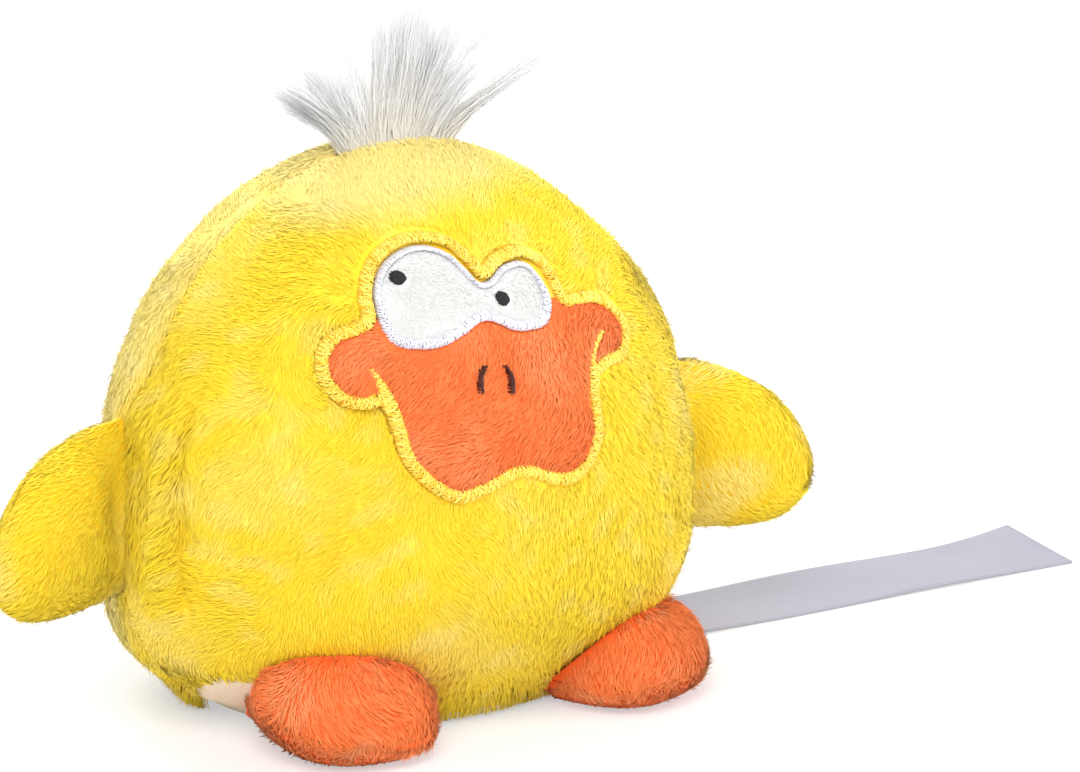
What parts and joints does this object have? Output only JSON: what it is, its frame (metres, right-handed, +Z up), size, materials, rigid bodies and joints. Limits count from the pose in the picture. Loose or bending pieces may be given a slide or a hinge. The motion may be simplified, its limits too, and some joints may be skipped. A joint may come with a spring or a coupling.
{
  "type": "plush duck",
  "caption": "Small plush duck: round stuffed body on a flat base, side wings, padded feet, embroidered appliqué face, fibre tuft and a satin ribbon from the base seam.",
  "frame": {"origin": "centre of the flat base, on the surface that the duck sits on", "axes": "+Z up; -Y the way the duck faces; +X towards the duck's own left, where the ribbon lies"},
  "size_m": [0.1609, 0.0625, 0.0868],
  "materials": {
    "yellow_plush": "short-pile yellow plush, brushed in loose tufts",
    "orange_plush": "short-pile orange plush",
    "white_plush": "very short white plush",
    "white_embroidery_thread": "satin stitch in white rayon thread",
    "gold_embroidery_thread": "satin stitch in golden-yellow rayon thread",
    "black_embroidery_thread": "satin stitch in black thread",
    "brown_embroidery_thread": "satin stitch in dark brown thread",
    "sewing_thread": "matt polyester sewing thread",
    "polyester_filling": "loose white polyester fibre",
    "beige_base_cloth": "matt beige micro-fibre cloth",
    "white_tuft_fibre": "long straight off-white fibre",
    "grey_satin": "plain pale grey satin weave"
  },
  "bodies": {
    "root": {"front_panel": "yellow_plush", "back_left_panel": "yellow_plush", "back_right_panel": "yellow_plush", "base_panel": "beige_base_cloth", "body_stuffing": "polyester_filling", "left_side_seam_thread": "sewing_thread", "right_side_seam_thread": "sewing_thread", "back_seam_thread": "sewing_thread", "base_seam_thread": "sewing_thread", "eye_patch": "white_plush", "eye_border": "white_embroidery_thread", "beak_patch": "orange_plush", "face_border": "gold_embroidery_thread", "left_pupil": "black_embroidery_thread", "right_pupil": "black_embroidery_thread", "left_nostril": "brown_embroidery_thread", "right_nostril": "brown_embroidery_thread"},
    "left_wing": {"left_wing_front_panel": "yellow_plush", "left_wing_back_panel": "yellow_plush", "left_wing_stuffing": "polyester_filling", "left_wing_seam_thread": "sewing_thread"},
    "right_wing": {"right_wing_front_panel": "yellow_plush", "right_wing_back_panel": "yellow_plush", "right_wing_stuffing": "polyester_filling", "right_wing_seam_thread": "sewing_thread"},
    "left_foot": {"left_foot_top_panel": "orange_plush", "left_foot_sole_panel": "orange_plush", "left_foot_stuffing": "polyester_filling", "left_foot_seam_thread": "sewing_thread"},
    "right_foot": {"right_foot_top_panel": "orange_plush", "right_foot_sole_panel": "orange_plush", "right_foot_stuffing": "polyester_filling", "right_foot_seam_thread": "sewing_thread"},
    "tuft": {"tuft_fibre": "white_tuft_fibre"},
    "ribbon": {"satin_ribbon": "grey_satin"}
  },
  "joints": [
    {"name": "left_wing_swing", "type": "hinge", "parent": "root", "child": "left_wing", "pos_m": [0.03886, -0.0023, 0.0255], "axis": [0, 0, -1], "range_deg": [-60, 45], "stiffness_Nm_per_rad": 0.0015},
    {"name": "right_wing_swing", "type": "hinge", "parent": "root", "child": "right_wing", "pos_m": [-0.03886, -0.0023, 0.0295], "axis": [0, 0, 1], "range_deg": [-60, 45], "stiffness_Nm_per_rad": 0.0015},
    {"name": "left_foot_flex", "type": "hinge", "parent": "root", "child": "left_foot", "pos_m": [0.01989, -0.01536, 0.0036], "axis": [-0.8988, -0.4384, 0], "range_deg": [0, 10], "stiffness_Nm_per_rad": 0.002},
    {"name": "right_foot_flex", "type": "hinge", "parent": "root", "child": "right_foot", "pos_m": [-0.01768, -0.01668, 0.0036], "axis": [-0.9613, 0.2756, 0], "range_deg": [0, 10], "stiffness_Nm_per_rad": 0.002},
    {"name": "tuft_lean", "type": "hinge", "parent": "root", "child": "tuft", "pos_m": [0, -0.0023, 0.06895], "axis": [1, 0, 0], "range_deg": [-15, 15], "stiffness_Nm_per_rad": 0.0006},
    {"name": "ribbon_lift", "type": "hinge", "parent": "root", "child": "ribbon", "pos_m": [0.02783, 0, 0.0022], "axis": [0, -1, 0], "range_deg": [0, 20]}
  ]
}
